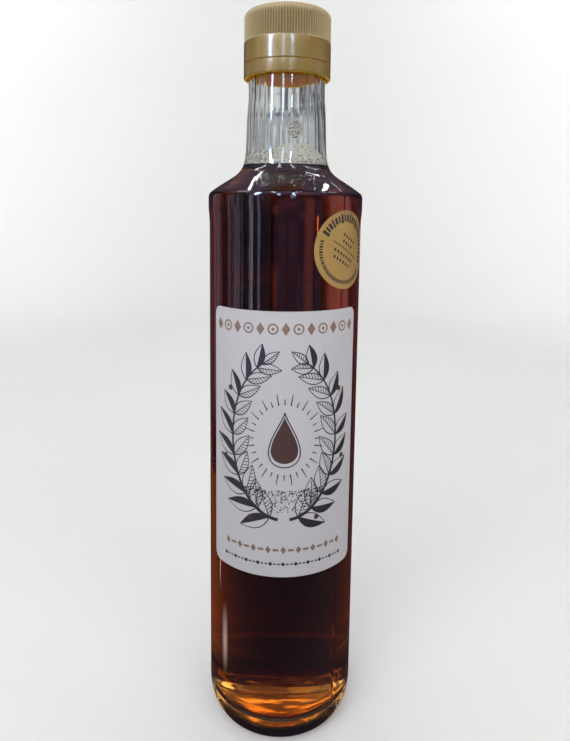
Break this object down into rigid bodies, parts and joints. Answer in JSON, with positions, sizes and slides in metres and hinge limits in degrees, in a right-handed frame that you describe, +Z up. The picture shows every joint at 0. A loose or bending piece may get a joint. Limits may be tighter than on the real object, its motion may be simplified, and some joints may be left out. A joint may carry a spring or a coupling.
{
  "type": "maple syrup bottle",
  "caption": "Tall round clear-glass bottle of maple syrup with a foam collar in the neck, a ribbed gold screw cap with tamper ring, a paper front label and a round gold seal.",
  "frame": {"origin": "centre of the base, on the surface that the bottle stands on", "axes": "+Z up along the bottle's axis; the middle of the front label faces -Y, and +X is to its right"},
  "size_m": [0.0608, 0.0608, 0.284],
  "materials": {
    "glass": "clear polished bottle glass",
    "syrup": "clear dark amber syrup",
    "foam": "fine beige foam bubbles",
    "cap_plastic": "satin moulded plastic in old gold",
    "label_paper": "matt white paper with dark ink",
    "seal_foil": "satin gold foil sticker with black print"
  },
  "bodies": {
    "root": {"bottle": "glass", "syrup": "syrup", "foam": "foam", "cap": "cap_plastic", "tamper_ring": "cap_plastic", "label": "label_paper", "seal": "seal_foil"}
  },
  "joints": []
}
